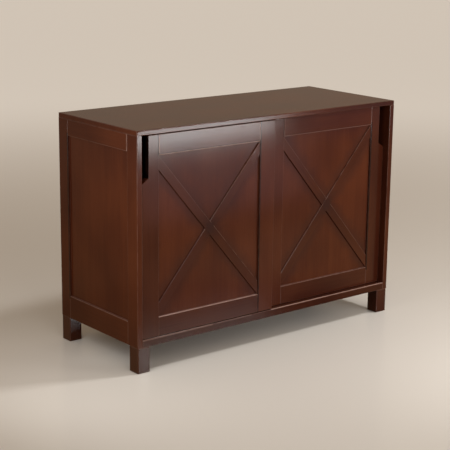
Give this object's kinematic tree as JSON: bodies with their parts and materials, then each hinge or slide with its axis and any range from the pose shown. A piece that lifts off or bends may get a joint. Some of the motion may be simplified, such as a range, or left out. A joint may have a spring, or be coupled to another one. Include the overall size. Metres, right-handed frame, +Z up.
{
  "type": "sliding-door cabinet",
  "caption": "Low dark-wood cabinet on square legs, with cross-braced frame-and-panel doors that slide past each other, finger notches and shelves inside.",
  "frame": {"origin": "on the floor under the middle of the cabinet", "axes": "+X to the right along the front, +Y from the doors to the back, +Z up"},
  "size_m": [1, 0.4, 0.7],
  "materials": {
    "frame_wood": "dark espresso-cherry stain under satin lacquer",
    "panel_wood": "dark espresso-cherry stain under satin lacquer, flat panel",
    "inside_wood": "dark stain, matt lacquer",
    "back_wood": "dark stain on thin board, matt",
    "nylon": "black nylon"
  },
  "bodies": {
    "cabinet": {"back_panel": "back_wood", "bottom_panel": "frame_wood", "centre_divider": "inside_wood", "left_back_foot_glide": "nylon", "left_back_leg": "frame_wood", "left_front_foot_glide": "nylon", "left_front_leg": "frame_wood", "left_inner_shelf_cleat": "inside_wood", "left_outer_shelf_cleat": "inside_wood", "left_shelf": "inside_wood", "left_side_back_stile": "frame_wood", "left_side_bottom_rail": "frame_wood", "left_side_front_stile": "frame_wood", "left_side_panel": "panel_wood", "left_side_top_rail": "frame_wood", "right_back_foot_glide": "nylon", "right_back_leg": "frame_wood", "right_front_foot_glide": "nylon", "right_front_leg": "frame_wood", "right_inner_shelf_cleat": "inside_wood", "right_outer_shelf_cleat": "inside_wood", "right_shelf": "inside_wood", "right_side_back_stile": "frame_wood", "right_side_bottom_rail": "frame_wood", "right_side_front_stile": "frame_wood", "right_side_panel": "panel_wood", "right_side_top_rail": "frame_wood", "top_panel": "frame_wood"},
    "left_door": {"left_door_bottom_rail": "frame_wood", "left_door_inner_brace": "frame_wood", "left_door_inner_glide": "nylon", "left_door_inner_guide": "nylon", "left_door_inner_stile": "frame_wood", "left_door_outer_brace": "frame_wood", "left_door_outer_glide": "nylon", "left_door_outer_guide": "nylon", "left_door_outer_stile": "frame_wood", "left_door_panel": "panel_wood", "left_door_top_rail": "frame_wood"},
    "right_door": {"right_door_bottom_rail": "frame_wood", "right_door_inner_brace": "frame_wood", "right_door_inner_glide": "nylon", "right_door_inner_guide": "nylon", "right_door_inner_stile": "frame_wood", "right_door_outer_brace": "frame_wood", "right_door_outer_glide": "nylon", "right_door_outer_guide": "nylon", "right_door_outer_stile": "frame_wood", "right_door_panel": "panel_wood", "right_door_top_rail": "frame_wood"}
  },
  "joints": [
    {"name": "left_door_slide", "type": "slide", "parent": "cabinet", "child": "left_door", "axis": [1, 0, 0], "range_m": [0, 0.479]},
    {"name": "right_door_slide", "type": "slide", "parent": "cabinet", "child": "right_door", "axis": [1, 0, 0], "range_m": [-0.479, 0]}
  ]
}
